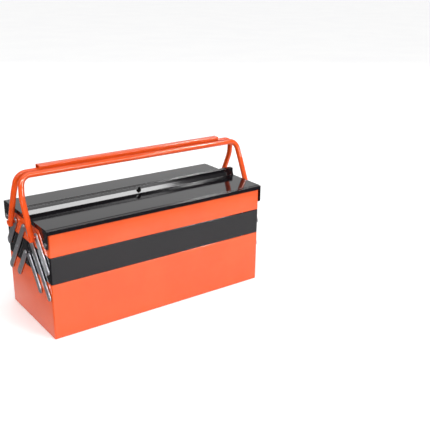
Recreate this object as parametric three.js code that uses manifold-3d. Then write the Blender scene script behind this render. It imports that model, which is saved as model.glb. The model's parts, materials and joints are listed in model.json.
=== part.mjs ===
// A five-tray cantilever toolbox of folded sheet steel, in millimetres: a bottom box, two trays
// on each side that swing out on parallel links, a hinged lid over each top tray, and two
// bail handles. X runs along the length, the front faces -Y, +Z is up, and the origin is at
// the middle of the underside.
import * as THREE from "three";
import { mergeVertices } from "three/addons/utils/BufferGeometryUtils.js";
import Module from "manifold-3d";

const wasm = await Module();
wasm.setup();

// Body and trays.
const LENGTH = 430;
const DEPTH = 182;
const BOX_HEIGHT = 99;
const TRAY_HEIGHT = 47.05;
const TOP_TRAY_HEIGHT = 46.15;
const SHEET = 0.8;
const CORNER_RADIUS = 2.4;
const RIM_HEM = 7;
const STACK_GAP = 0.3;
const CENTRE_GAP = 1;

// Links: flat strips on both ends of the trays.
const PIVOT_EDGE = 8;
const PIVOT_DROP = 23.8;
const LINK_OFFSET = 1.2;
const LINK_THICKNESS = 2;
const LONG_ARM_WIDTH = 12;
const LOWER_LINK_WIDTH = 12;
const UPPER_LINK_WIDTH = 13.5;

// Rivets.
const SHANK_RADIUS = 2;
const BORE_CLEARANCE = 0.06;
const HEAD_RADIUS = 4.4;
const HEAD_HEIGHT = 0.95;
const COLLAR_RADIUS = 3.2;
const RIVET_GAP = 0.25;

// Lids.
const LID_GAP = 1.4;
const LID_OVERHANG = 2.5;
const LID_END_OVERHANG = 2;
const LID_FLANGE = 8;
const LID_PIVOT_EDGE = 7;
const LID_PIVOT_DROP = 27;
const TAB_RADIUS = 6.5;
const TAB_ROOT = 29;
const RIDGE_HEIGHT = 14;
const RIDGE_WIDTH = 4.6;
const RAMP_RISE = 7.5;
const RAMP_RUN = 2.6;
const RIDGE_RETURN = 12.5;
const RIDGE_GAP = 0.8;
const PADLOCK_RADIUS = 5;
const PADLOCK_RISE = 6.4;

// Handles: bent steel tube, with a folded sheet cover on the back handle's bar.
const TUBE_RADIUS = 5;
const TUBE_WALL = 1.2;
const HANDLE_CLEARANCE = 1.8;
const BAR_CLEARANCE = 4;
const BAR_RISE = 94.8;
const BAR_TUCK = 5;
const KNEE_RISE = 64;
const KNEE_REACH = 29;
const KNEE_RADIUS = 90;
const BAR_BEND = 18;
const LEG_TIP = 7.5;
const COVER_LENGTH = 370;
const COVER_SHEET = 1;
const COVER_SIDE_GAP = 1;
const COVER_HEADROOM = 4.4;
const COVER_FLOOR_GAP = 0.4;
const COVER_LIP = 3.4;

const SIDES = 10;
const CUT = 4;

// Places that follow from the sizes above.
const front = -DEPTH / 2;
const endFace = LENGTH / 2;
const trayDepth = (DEPTH - CENTRE_GAP) / 2;
const pitch = TRAY_HEIGHT + STACK_GAP;
const midTrayBase = BOX_HEIGHT + STACK_GAP;
const topTrayBase = midTrayBase + pitch;
const topTrayTop = topTrayBase + TOP_TRAY_HEIGHT;
const lidTop = topTrayTop + LID_GAP + SHEET;
const linkRun = (trayDepth - 2 * PIVOT_EDGE) / 2;
const linkLength = Math.hypot(linkRun, pitch);
const linkLean = Math.atan2(linkRun, pitch);
const boreRadius = (SHANK_RADIUS + BORE_CLEARANCE) / Math.cos(Math.PI / SIDES);
const handleOffset = LINK_OFFSET + LINK_THICKNESS + HANDLE_CLEARANCE + TUBE_RADIUS;
const coverWidth = 2 * (TUBE_RADIUS + COVER_SIDE_GAP + COVER_SHEET);
const barSpacing = TUBE_RADIUS + BAR_CLEARANCE + coverWidth / 2;
const lidPivot = { y: front + LID_PIVOT_EDGE, z: lidTop - LID_PIVOT_DROP };

const orangePaint = new THREE.MeshStandardMaterial({ color: 0xf0561e, roughness: 0.28 });
const blackPaint = new THREE.MeshStandardMaterial({ color: 0x17171a, roughness: 0.2 });
const zincPlate = new THREE.MeshStandardMaterial({ color: 0xaaa8ad, roughness: 0.42, metalness: 0.9 });

// The linkage's pivots stand on a lattice: columns step back from the front face by the
// links' run, and rows step up by one tray.
function pivot(column, row) {
  return {
    y: front + PIVOT_EDGE + column * linkRun,
    z: BOX_HEIGHT - PIVOT_DROP + row * pitch,
  };
}

// A closed solid of a three.js geometry, ready to be joined or cut.
function solid(geometry) {
  const bare = geometry.index ? geometry.toNonIndexed() : geometry.clone();
  bare.deleteAttribute("normal");
  bare.deleteAttribute("uv");
  const merged = mergeVertices(bare, 1e-4);
  return new wasm.Manifold(
    new wasm.Mesh({
      numProp: 3,
      vertProperties: merged.attributes.position.array,
      triVerts: new Uint32Array(merged.index.array),
    }),
  );
}

function geometryOf(body) {
  const { vertProperties, triVerts } = body.getMesh();
  const geometry = new THREE.BufferGeometry();
  geometry.setAttribute("position", new THREE.BufferAttribute(vertProperties, 3));
  geometry.setIndex(new THREE.BufferAttribute(triVerts, 1));
  geometry.computeVertexNormals();
  return geometry;
}

// A shape drawn in the YZ plane, made solid from low to high along X.
function extrudeAlongX(shape, low, high) {
  const geometry = new THREE.ExtrudeGeometry(shape, {
    depth: high - low,
    bevelEnabled: false,
    curveSegments: SIDES / 2,
  });
  const drawnInYZ = new THREE.Matrix4().makeBasis(
    new THREE.Vector3(0, 1, 0),
    new THREE.Vector3(0, 0, 1),
    new THREE.Vector3(1, 0, 0),
  );
  return geometry.applyMatrix4(drawnInYZ).translate(low, 0, 0);
}

// A round bar along X through both ends of the box, for cutting one pivot's holes.
function boreAlongX({ y, z }, radius) {
  const reach = LENGTH + 2 * (handleOffset + TUBE_RADIUS + CUT);
  const bar = new THREE.CylinderGeometry(radius, radius, reach, SIDES);
  return solid(bar.rotateZ(Math.PI / 2).translate(0, y, z));
}

// An upright block with rounded corners, between two heights.
function roundedBlock(width, depth, centreY, low, high, radius) {
  const x = width / 2 - radius;
  const y = depth / 2 - radius;
  const outline = new THREE.Shape();
  outline.absarc(x, y, radius, 0, Math.PI / 2);
  outline.absarc(-x, y, radius, Math.PI / 2, Math.PI);
  outline.absarc(-x, -y, radius, Math.PI, 1.5 * Math.PI);
  outline.absarc(x, -y, radius, 1.5 * Math.PI, 2 * Math.PI);
  const geometry = new THREE.ExtrudeGeometry(outline, {
    depth: high - low,
    bevelEnabled: false,
    curveSegments: 2,
  });
  return solid(geometry.translate(0, centreY, low));
}

// An open sheet tray with its rim folded inwards, drilled along X at each pivot.
function openTray(depth, centreY, low, high, pivots) {
  const inner = (inset, from, to) =>
    roundedBlock(
      LENGTH - 2 * inset,
      depth - 2 * inset,
      centreY,
      from,
      to,
      Math.max(CORNER_RADIUS - inset, SHEET / 2),
    );
  const walls = roundedBlock(LENGTH, depth, centreY, low, high, CORNER_RADIUS);
  const room = inner(SHEET, low + SHEET, high - RIM_HEM);
  const mouth = inner(2 * SHEET, high - RIM_HEM - SHEET / 2, high + CUT);
  let tray = walls.subtract(room).subtract(mouth);
  for (const place of pivots) tray = tray.subtract(boreAlongX(place, boreRadius));
  return geometryOf(tray);
}

// A flat strip standing on its lowest pivot, with round ends and a hole at each pivot.
function strip(width, holes) {
  const radius = width / 2;
  const last = (holes - 1) * linkLength;
  const outline = new THREE.Shape();
  outline.absarc(0, last, radius, 0, Math.PI);
  outline.absarc(0, 0, radius, Math.PI, 2 * Math.PI);
  for (let i = 0; i < holes; i += 1) {
    const hole = new THREE.Path();
    hole.absarc(0, i * linkLength, boreRadius, 0, 2 * Math.PI);
    outline.holes.push(hole);
  }
  return extrudeAlongX(outline, 0, LINK_THICKNESS);
}

// A rivet standing along +Y from the wall's outer face. Its collars fill the spaces between
// the pieces that turn on it, given as [inner, outer] distances from the wall.
function rivet(pieces) {
  const outline = [];
  const step = (radius, height) => outline.push(new THREE.Vector2(radius, height));
  const formedHead = -SHEET - RIVET_GAP;
  step(0, formedHead - HEAD_HEIGHT);
  step(HEAD_RADIUS, formedHead - HEAD_HEIGHT);
  step(HEAD_RADIUS, formedHead);
  step(SHANK_RADIUS, formedHead);
  let face = 0;
  for (const [inner, outer] of pieces) {
    step(SHANK_RADIUS, face + RIVET_GAP);
    step(COLLAR_RADIUS, face + RIVET_GAP);
    step(COLLAR_RADIUS, inner - RIVET_GAP);
    step(SHANK_RADIUS, inner - RIVET_GAP);
    face = outer;
  }
  const head = face + RIVET_GAP;
  step(SHANK_RADIUS, head);
  step(HEAD_RADIUS, head);
  step(0.7 * HEAD_RADIUS, head + HEAD_HEIGHT);
  step(0, head + HEAD_HEIGHT);
  return new THREE.LatheGeometry(outline, SIDES);
}

// One lid: a folded section along the whole length, closed by an end plate on each end whose
// tab hangs down to the lid's pivot.
function lid() {
  const edge = front - LID_OVERHANG;
  const inside = -RIDGE_GAP / 2;
  const ridge = inside - RIDGE_WIDTH;
  const ridgeTop = lidTop + RIDGE_HEIGHT;
  const flangeEnd = lidTop - LID_FLANGE;
  const section = new THREE.Shape();
  section.moveTo(edge, flangeEnd);
  section.lineTo(edge + SHEET, flangeEnd);
  section.lineTo(edge + SHEET, lidTop - SHEET);
  section.lineTo(ridge - RAMP_RUN + SHEET, lidTop - SHEET);
  section.lineTo(ridge + SHEET, lidTop + RAMP_RISE);
  section.lineTo(ridge + SHEET, ridgeTop - SHEET);
  section.lineTo(inside - SHEET, ridgeTop - SHEET);
  section.lineTo(inside - SHEET, ridgeTop - RIDGE_RETURN);
  section.lineTo(inside, ridgeTop - RIDGE_RETURN);
  section.lineTo(inside, ridgeTop);
  section.lineTo(ridge, ridgeTop);
  section.lineTo(ridge, lidTop + RAMP_RISE);
  section.lineTo(ridge - RAMP_RUN, lidTop);
  section.lineTo(edge, lidTop);

  const plate = new THREE.Shape();
  plate.moveTo(edge, lidTop);
  plate.lineTo(edge, flangeEnd);
  plate.absarc(lidPivot.y, lidPivot.z, TAB_RADIUS, Math.PI, 2 * Math.PI - 0.35);
  plate.lineTo(front + TAB_ROOT, flangeEnd);
  plate.lineTo(inside, flangeEnd);
  plate.lineTo(inside, ridgeTop);
  plate.lineTo(ridge, ridgeTop);
  plate.lineTo(ridge, lidTop + RAMP_RISE);
  plate.lineTo(ridge - RAMP_RUN, lidTop);

  const inner = endFace + LID_END_OVERHANG;
  const outer = inner + SHEET;
  const padlockHole = new THREE.CylinderGeometry(
    PADLOCK_RADIUS,
    PADLOCK_RADIUS,
    4 * RIDGE_WIDTH,
    2 * SIDES,
  ).translate(0, 0, lidTop + PADLOCK_RISE);
  const body = solid(extrudeAlongX(section, -outer, outer))
    .add(solid(extrudeAlongX(plate, inner, outer)))
    .add(solid(extrudeAlongX(plate, -outer, -inner)))
    .subtract(solid(padlockHole))
    .subtract(boreAlongX(lidPivot, boreRadius));
  return geometryOf(body);
}

// A curve through given stations, one section at each, so that straight runs cost nothing.
class StationCurve extends THREE.Curve {
  constructor(stations) {
    super();
    this.stations = stations;
  }

  getPoint(t, target = new THREE.Vector3()) {
    const place = t * (this.stations.length - 1);
    const index = Math.min(Math.floor(place + 1e-6), this.stations.length - 2);
    return target.lerpVectors(this.stations[index], this.stations[index + 1], place - index);
  }

  getPointAt(u, target) {
    return this.getPoint(u, target);
  }

  getTangentAt(u, target = new THREE.Vector3()) {
    const last = this.stations.length - 1;
    const index = Math.round(u * last);
    const before = this.stations[Math.max(index - 1, 0)].clone();
    const here = this.stations[index];
    const after = this.stations[Math.min(index + 1, last)].clone();
    const into = index > 0 ? here.clone().sub(before).normalize() : new THREE.Vector3();
    const out = index < last ? after.sub(here).normalize() : new THREE.Vector3();
    return target.copy(into.add(out)).normalize();
  }
}

// The stations of a run through corners, each rounded to its radius.
function roundedRun(corners) {
  const stations = [corners[0].at];
  for (let i = 1; i < corners.length - 1; i += 1) {
    const { at, radius, steps } = corners[i];
    const into = at.clone().sub(corners[i - 1].at).normalize();
    const out = corners[i + 1].at.clone().sub(at).normalize();
    const turn = into.angleTo(out);
    const across = out.clone().addScaledVector(into, -out.dot(into)).normalize();
    const start = at.clone().addScaledVector(into, -radius * Math.tan(turn / 2));
    for (let k = 0; k <= steps; k += 1) {
      const angle = (turn * k) / steps;
      stations.push(
        start
          .clone()
          .addScaledVector(into, radius * Math.sin(angle))
          .addScaledVector(across, radius * (1 - Math.cos(angle))),
      );
    }
  }
  stations.push(corners.at(-1).at);
  return stations;
}

// A handle: two legs from the rivets, each with a slight knee where it also leans in towards
// the middle, and the bar between them.
function handle() {
  const foot = pivot(1, 2);
  const x = endFace + handleOffset;
  const knee = { y: foot.y + KNEE_REACH, z: foot.z + KNEE_RISE };
  const legLength = Math.hypot(KNEE_REACH, KNEE_RISE);
  const tip = {
    y: foot.y - (KNEE_REACH * LEG_TIP) / legLength,
    z: foot.z - (KNEE_RISE * LEG_TIP) / legLength,
  };
  const bar = { y: -barSpacing / 2, z: foot.z + BAR_RISE };
  const leg = (sign) => [
    { at: new THREE.Vector3(sign * x, tip.y, tip.z) },
    { at: new THREE.Vector3(sign * x, knee.y, knee.z), radius: KNEE_RADIUS, steps: 2 },
    { at: new THREE.Vector3(sign * (x - BAR_TUCK), bar.y, bar.z), radius: BAR_BEND, steps: 7 },
  ];
  const stations = roundedRun([...leg(-1), ...leg(1).reverse()]);
  const section = new THREE.Shape();
  section.absarc(0, 0, TUBE_RADIUS, 0, 2 * Math.PI);
  const bore = new THREE.Path();
  bore.absarc(0, 0, TUBE_RADIUS - TUBE_WALL, 0, 2 * Math.PI);
  section.holes.push(bore);
  const tube = new THREE.ExtrudeGeometry(section, {
    steps: stations.length - 1,
    curveSegments: SIDES / 2,
    extrudePath: new StationCurve(stations),
  });
  return geometryOf(solid(tube).subtract(boreAlongX(foot, boreRadius)));
}

// The cover: a channel open below, with lips folded in under the bar.
function gripCover() {
  const foot = pivot(1, 2);
  const barZ = foot.z + BAR_RISE;
  const low = -barSpacing / 2 - coverWidth / 2;
  const high = low + coverWidth;
  const top = barZ + TUBE_RADIUS + COVER_HEADROOM + COVER_SHEET;
  const bottom = barZ - TUBE_RADIUS - COVER_FLOOR_GAP - COVER_SHEET;
  const section = new THREE.Shape();
  section.moveTo(low, bottom);
  section.lineTo(low + COVER_LIP, bottom);
  section.lineTo(low + COVER_LIP, bottom + COVER_SHEET);
  section.lineTo(low + COVER_SHEET, bottom + COVER_SHEET);
  section.lineTo(low + COVER_SHEET, top - COVER_SHEET);
  section.lineTo(high - COVER_SHEET, top - COVER_SHEET);
  section.lineTo(high - COVER_SHEET, bottom + COVER_SHEET);
  section.lineTo(high - COVER_LIP, bottom + COVER_SHEET);
  section.lineTo(high - COVER_LIP, bottom);
  section.lineTo(high, bottom);
  section.lineTo(high, top);
  section.lineTo(low, top);
  return extrudeAlongX(section, -COVER_LENGTH / 2, COVER_LENGTH / 2);
}

function named(name, geometry, material) {
  const mesh = new THREE.Mesh(geometry, material);
  mesh.name = name;
  return mesh;
}

// The strips and rivets of one end of one side. outward is 1 on the end that faces +X.
function linkage(label, outward) {
  const group = new THREE.Group();
  const linkFaces = [LINK_OFFSET, LINK_OFFSET + LINK_THICKNESS];
  const lidFaces = [LID_END_OVERHANG, LID_END_OVERHANG + SHEET];
  const tubeFaces = [handleOffset - TUBE_RADIUS, handleOffset + TUBE_RADIUS];

  const strips = [
    ["long_arm", pivot(0, 0), strip(LONG_ARM_WIDTH, 3)],
    ["lower_link", pivot(1, 0), strip(LOWER_LINK_WIDTH, 2)],
    ["upper_link", pivot(0, 1), strip(UPPER_LINK_WIDTH, 2)],
  ];
  for (const [name, place, geometry] of strips) {
    const mesh = named(`${label}_${name}`, geometry, zincPlate);
    const inner = endFace + LINK_OFFSET;
    mesh.position.set(outward > 0 ? inner : -inner - LINK_THICKNESS, place.y, place.z);
    mesh.rotation.x = -linkLean;
    group.add(mesh);
  }

  const rivets = [
    ["arm_box_rivet", pivot(0, 0), [linkFaces], zincPlate],
    ["arm_mid_rivet", pivot(1, 1), [linkFaces], zincPlate],
    ["arm_top_rivet", pivot(2, 2), [linkFaces], zincPlate],
    ["lower_link_box_rivet", pivot(1, 0), [linkFaces], zincPlate],
    ["lower_link_mid_rivet", pivot(2, 1), [linkFaces], zincPlate],
    ["upper_link_mid_rivet", pivot(0, 1), [linkFaces], zincPlate],
    ["handle_rivet", pivot(1, 2), [linkFaces, tubeFaces], orangePaint],
    ["lid_rivet", lidPivot, [lidFaces], zincPlate],
  ];
  for (const [name, place, pieces, finish] of rivets) {
    const mesh = named(`${label}_${name}`, rivet(pieces), finish);
    mesh.position.set(outward * endFace, place.y, place.z);
    mesh.rotation.z = (-outward * Math.PI) / 2;
    group.add(mesh);
  }
  return group;
}

// One half of what swings: trays, lid, handle and the linkage on both ends. It is drawn for
// the front, and the back is the same half turned round.
function half(side, turn) {
  const group = new THREE.Group();
  group.rotation.z = turn;
  const trayY = front + trayDepth / 2;
  const midPivots = [pivot(0, 1), pivot(1, 1), pivot(2, 1)];
  const topPivots = [pivot(1, 2), pivot(2, 2), lidPivot];
  const midTray = openTray(trayDepth, trayY, midTrayBase, midTrayBase + TRAY_HEIGHT, midPivots);
  const topTray = openTray(trayDepth, trayY, topTrayBase, topTrayTop, topPivots);
  group.add(named(`${side}_mid_tray`, midTray, blackPaint));
  group.add(named(`${side}_top_tray`, topTray, orangePaint));
  group.add(named(`${side}_lid`, lid(), blackPaint));
  group.add(named(`${side}_handle`, handle(), orangePaint));
  for (const outward of [-1, 1]) {
    const worldEnd = outward * Math.round(Math.cos(turn));
    group.add(linkage(`${side}_${worldEnd > 0 ? "right" : "left"}`, outward));
  }
  return group;
}

const boxPivots = [pivot(0, 0), pivot(1, 0)];
const mirrored = boxPivots.map(({ y, z }) => ({ y: -y, z }));
const bottomBox = openTray(DEPTH, 0, 0, BOX_HEIGHT, [...boxPivots, ...mirrored]);

const frontHalf = half("front", 0);
const backHalf = half("back", Math.PI);
backHalf.add(named("back_handle_cover", gripCover(), orangePaint));

const toolbox = new THREE.Group();
toolbox.add(named("bottom_box", bottomBox, orangePaint), frontHalf, backHalf);

export default toolbox;
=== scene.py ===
"""A five-tray cantilever toolbox of enamelled sheet steel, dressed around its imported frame.

Every shell is folded from sheet, every link is a pressed strip and every rivet is turned from
a profile. All sizes are in metres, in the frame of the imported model.
"""
import json
import logging
import math
from collections.abc import Callable, Iterable, Iterator, Sequence
from dataclasses import dataclass, field
from enum import Enum

import bmesh
import bpy
from mathutils import Matrix, Quaternion, Vector


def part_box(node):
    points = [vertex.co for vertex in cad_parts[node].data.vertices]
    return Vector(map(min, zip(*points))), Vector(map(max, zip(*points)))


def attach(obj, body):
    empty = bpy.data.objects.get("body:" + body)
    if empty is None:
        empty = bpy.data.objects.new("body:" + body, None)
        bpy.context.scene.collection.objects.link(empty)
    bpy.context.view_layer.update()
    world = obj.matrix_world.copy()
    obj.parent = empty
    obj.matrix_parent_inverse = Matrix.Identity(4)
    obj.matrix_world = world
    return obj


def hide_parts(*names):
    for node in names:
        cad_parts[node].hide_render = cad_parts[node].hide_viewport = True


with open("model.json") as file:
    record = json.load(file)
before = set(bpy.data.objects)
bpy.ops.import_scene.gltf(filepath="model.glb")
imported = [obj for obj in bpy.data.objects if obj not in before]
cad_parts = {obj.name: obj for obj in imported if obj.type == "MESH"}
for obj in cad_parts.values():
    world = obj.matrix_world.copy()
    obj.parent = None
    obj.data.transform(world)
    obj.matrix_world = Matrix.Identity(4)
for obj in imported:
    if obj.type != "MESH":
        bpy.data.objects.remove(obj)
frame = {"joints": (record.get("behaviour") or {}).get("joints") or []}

log = logging.getLogger("toolbox")

Thing = bpy.types.Object
Socket = bpy.types.NodeSocket

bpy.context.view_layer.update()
MM = 0.001

# Sheet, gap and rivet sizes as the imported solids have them. The faces are the near and far
# side of what turns on a rivet, measured from the wall.
SHEET = 0.8 * MM
RIVET_GAP = 0.25 * MM
HEAD_HEIGHT = 0.95 * MM
LINK_FACES = (1.2 * MM, 3.2 * MM)
LID_FACES = (2.0 * MM, 2.8 * MM)
TUBE_FACES = (5.0 * MM, 15.0 * MM)

# How close two places are to count as the same when elements are picked or welded.
NEAR = 0.05 * MM
DOUBLED = 0.002 * MM

DRILL_SIDES = 48
ALONG_X = Vector((1.0, 0.0, 0.0))
ALONG_Y = Vector((0.0, 1.0, 0.0))
UP = Vector((0.0, 0.0, 1.0))

# The types of a group's sockets, and the places of a mix node's colour inputs and output.
COLOUR = "NodeSocketColor"
NUMBER = "NodeSocketFloat"
MIX_COLOURS = (6, 7)
MIXED_COLOUR = 2


class Sign(Enum):
    """A choice between two, as a sign along an axis."""

    @property
    def label(self) -> str:
        """Its name in node and body names."""
        return self.name.lower()


class Side(Sign):
    """The half of the toolbox that a piece belongs to, along Y."""

    FRONT = -1
    BACK = 1


class End(Sign):
    """The end of the toolbox that a piece belongs to, along X."""

    LEFT = -1
    RIGHT = 1

    @property
    def facing(self) -> float:
        """How far a piece that faces +X turns about Z to face out of this end."""
        return 0.0 if self is End.RIGHT else math.pi


class Part(Enum):
    """The kind of mesh element that a test picks."""

    VERT = "VERT"
    EDGE = "EDGE"
    FACE = "FACE"


# --- Modelling tools ---


def select_only(thing: Thing) -> None:
    """Makes an object the only selected one, and the active one."""
    bpy.ops.object.select_all(action="DESELECT")
    thing.select_set(True)
    bpy.context.view_layer.objects.active = thing


class Workpiece:
    """One mesh on the bench, shaped with the modelling operators.

    It starts as a primitive at the origin, is worked on in edit mode, and leaves as a finished
    object whose place is in its mesh.
    """

    def __init__(self, name: str) -> None:
        """Takes the active object, which a primitive operator has just added.

        Args:
            name: The finished piece's name.
        """
        self.thing = bpy.context.object
        self.thing.name = name
        self.thing.data.name = name
        bpy.ops.object.mode_set(mode="EDIT")
        bpy.ops.mesh.select_mode(type="VERT")

    @classmethod
    def start(cls, name: str, primitive: Callable[..., object], **given: object) -> "Workpiece":
        """Starts from a primitive.

        Args:
            name: The piece's name.
            primitive: The operator that adds it.
            **given: What the operator gets.

        Returns:
            The piece, in edit mode.
        """
        bpy.ops.object.select_all(action="DESELECT")
        primitive(**given)
        bpy.ops.object.transform_apply(location=True, rotation=True, scale=True)
        return cls(name)

    @classmethod
    def block(cls, name: str, low: Vector, high: Vector) -> "Workpiece":
        """Starts from a cube between two corners.

        Args:
            name: The piece's name.
            low: Its lowest corner.
            high: Its highest corner.

        Returns:
            The piece, in edit mode.
        """
        piece = cls.start(name, bpy.ops.mesh.primitive_cube_add, size=1.0)
        bpy.ops.transform.resize(value=high - low)
        bpy.ops.transform.translate(value=(low + high) / 2)
        return piece

    @classmethod
    def ring(cls, name: str, centre: Vector, normal: Vector, radius: float, sides: int,
             filled: bool = False) -> "Workpiece":
        """Starts from a circle facing a direction.

        Args:
            name: The piece's name.
            centre: The circle's centre.
            normal: The direction that it faces.
            radius: Its radius.
            sides: How many edges it has.
            filled: Whether a face closes it.

        Returns:
            The piece, in edit mode, with the whole circle selected.
        """
        return cls.start(
            name, bpy.ops.mesh.primitive_circle_add,
            vertices=sides,
            radius=radius,
            fill_type="NGON" if filled else "NOTHING",
            location=centre,
            rotation=normal.to_track_quat("Z", "Y").to_euler(),
        )

    @classmethod
    def edge(cls, name: str, start: Vector, end: Vector) -> "Workpiece":
        """Starts from a single edge along X, cut from a plane.

        Args:
            name: The piece's name.
            start: One end.
            end: The other end, at the same Y and Z.

        Returns:
            The piece, in edit mode, with the edge selected.
        """
        piece = cls.start(name, bpy.ops.mesh.primitive_plane_add, size=1.0)
        bpy.ops.transform.resize(value=(end.x - start.x, 1.0, 1.0))
        piece.pick(Part.VERT, lambda place, _: place.y > 0)
        bpy.ops.mesh.delete(type="VERT")
        piece.pick(Part.VERT, lambda place, _: True)
        bpy.ops.transform.translate(value=(start + end) / 2 + Vector((0.0, 0.5, 0.0)))
        return piece

    def pick(self, part: Part, test: Callable[[Vector, Vector], bool]) -> None:
        """Selects the elements whose place and direction pass a test, and nothing else.

        Args:
            part: What is picked.
            test: Takes an element's middle and its direction, which is a vertex's or face's
                normal and an edge's run from end to end.
        """
        bpy.ops.mesh.select_all(action="DESELECT")
        bpy.ops.mesh.select_mode(type=part.value)
        mesh = bmesh.from_edit_mesh(self.thing.data)
        mesh.normal_update()
        if part is Part.VERT:
            found = [v for v in mesh.verts if test(v.co, v.normal)]
        elif part is Part.EDGE:
            found = [
                e for e in mesh.edges
                if test((e.verts[0].co + e.verts[1].co) / 2, e.verts[1].co - e.verts[0].co)
            ]
        else:
            found = [f for f in mesh.faces if test(f.calc_center_median(), f.normal)]
        for element in found:
            element.select_set(True)
        mesh.select_flush_mode()
        bmesh.update_edit_mesh(self.thing.data)

    def pull(self, by: Vector) -> None:
        """Extrudes the selection by a distance."""
        bpy.ops.mesh.extrude_region_move(TRANSFORM_OT_translate={"value": by})

    def shift(self, by: Vector) -> None:
        """Moves the selection by a distance."""
        bpy.ops.transform.translate(value=by)

    def spread(self, by: Vector, about: Vector) -> None:
        """Scales the selection about a point."""
        bpy.ops.transform.resize(value=by, center_override=about)

    def round_edges(self, width: float, steps: int) -> None:
        """Bevels the selected edges."""
        bpy.ops.mesh.bevel(offset=width, segments=steps, affect="EDGES", clamp_overlap=True)

    def turn(self, angle: float, centre: Vector, axis: Vector, steps: int) -> None:
        """Extrudes the selection round an axis.

        Args:
            angle: The turn, by the right-hand rule.
            centre: A point on the axis.
            axis: The axis.
            steps: How many sections it adds.
        """
        bpy.ops.mesh.spin(steps=steps, dupli=False, angle=-angle, center=centre, axis=axis)

    def weld(self) -> None:
        """Merges doubled vertices, removes empty faces and turns every face outwards."""
        bpy.ops.mesh.select_mode(type="VERT")
        bpy.ops.mesh.select_all(action="SELECT")
        bpy.ops.mesh.remove_doubles(threshold=DOUBLED)
        bpy.ops.mesh.dissolve_degenerate(threshold=DOUBLED / 2)
        bpy.ops.mesh.select_all(action="SELECT")
        bpy.ops.mesh.normals_make_consistent(inside=False)

    def modify(self, kind: str, **settings: object) -> None:
        """Adds a modifier and applies it.

        Args:
            kind: The modifier's type.
            **settings: Its values.
        """
        bpy.ops.object.mode_set(mode="OBJECT")
        select_only(self.thing)
        modifier = self.thing.modifiers.new(kind.title(), kind)
        for key, value in settings.items():
            setattr(modifier, key, value)
        bpy.ops.object.modifier_apply(modifier=modifier.name)
        bpy.ops.object.mode_set(mode="EDIT")

    def thicken(self, thickness: float) -> None:
        """Gives a surface its wall, inwards from its faces."""
        self.modify("SOLIDIFY", thickness=thickness, offset=-1.0, use_even_offset=True)

    def drill(self, centre: Vector, axis: Vector, radius: float, depth: float) -> None:
        """Cuts a round hole through the piece.

        Args:
            centre: The middle of the hole.
            axis: The direction that it runs.
            radius: Its radius.
            depth: The drill's whole length.
        """
        bpy.ops.object.mode_set(mode="OBJECT")
        bpy.ops.object.select_all(action="DESELECT")
        bpy.ops.mesh.primitive_cylinder_add(
            vertices=DRILL_SIDES,
            radius=radius,
            depth=depth,
            location=centre,
            rotation=axis.to_track_quat("Z", "Y").to_euler(),
        )
        bit = bpy.context.object
        bpy.ops.object.transform_apply(location=True, rotation=True, scale=True)
        self.modify("BOOLEAN", operation="DIFFERENCE", solver="MANIFOLD", object=bit)
        bpy.data.objects.remove(bit)

    def finish(self, sharp: float = 40.0) -> Thing:
        """Leaves edit mode, smooths the shading between flat faces and gives up the object.

        Args:
            sharp: The angle in degrees past which an edge stays sharp.

        Returns:
            The finished object, at the origin.
        """
        bpy.ops.object.mode_set(mode="OBJECT")
        select_only(self.thing)
        bpy.ops.object.shade_smooth_by_angle(angle=math.radians(sharp))
        even = self.thing.modifiers.new("Even", "WEIGHTED_NORMAL")
        even.keep_sharp = True
        bpy.ops.object.modifier_apply(modifier=even.name)
        return self.thing


def rounded_path(points: Sequence[tuple[float, float, float]], steps: int) -> list[Vector]:
    """Rounds the corners of a flat path.

    Args:
        points: Each corner as (y, z, radius).
        steps: How many pieces each rounded corner has.

    Returns:
        The path's points in the YZ plane.
    """
    places = [Vector((0.0, y, z)) for y, z, _ in points]
    path = [places[0]]
    for i in range(1, len(points) - 1):
        radius = points[i][2]
        into = (places[i] - places[i - 1]).normalized()
        out = (places[i + 1] - places[i]).normalized()
        angle = into.angle(out)
        if radius <= 0 or angle < math.radians(1.0):
            path.append(places[i])
            continue
        across = (out - into * out.dot(into)).normalized()
        start = places[i] - into * (radius * math.tan(angle / 2))
        for k in range(steps + 1):
            part = angle * k / steps
            path.append(start + into * (radius * math.sin(part))
                        + across * (radius * (1 - math.cos(part))))
    path.append(places[-1])
    return path


def folded_sheet(name: str, section: Sequence[Vector], low: float, high: float) -> Workpiece:
    """Folds a sheet along X by pulling one edge through a section.

    Args:
        name: The piece's name.
        section: The fold's points in the YZ plane.
        low: Where the sheet starts along X.
        high: Where it ends.

    Returns:
        The surface, in edit mode, before it gets its thickness.
    """
    first = section[0]
    piece = Workpiece.edge(name, Vector((low, first.y, first.z)), Vector((high, first.y, first.z)))
    for before, after in zip(section, section[1:]):
        piece.pull(after - before)
    return piece


def copy_of(original: Thing, name: str) -> Thing:
    """Copies a finished piece, with a mesh of its own.

    Args:
        original: The piece to copy.
        name: The copy's name.

    Returns:
        The copy.
    """
    select_only(original)
    bpy.ops.object.duplicate(linked=False)
    twin = bpy.context.object
    twin.name = name
    twin.data.name = name
    return twin


def place(thing: Thing, where: Vector, turn: Sequence[float] = (0.0, 0.0, 0.0)) -> None:
    """Moves and turns a piece, and puts that into its mesh.

    Args:
        thing: The piece.
        where: How far it moves.
        turn: Its turn about X, Y and Z, in radians.
    """
    select_only(thing)
    thing.rotation_euler = turn
    thing.location = where
    bpy.ops.object.transform_apply(location=True, rotation=True, scale=True)


def turned_round(thing: Thing, name: str) -> Thing:
    """Makes the back half's copy of a front piece, turned half round about Z."""
    twin = copy_of(thing, name)
    place(twin, Vector(), (0.0, 0.0, math.pi))
    return twin


# --- Finishes ---


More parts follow.
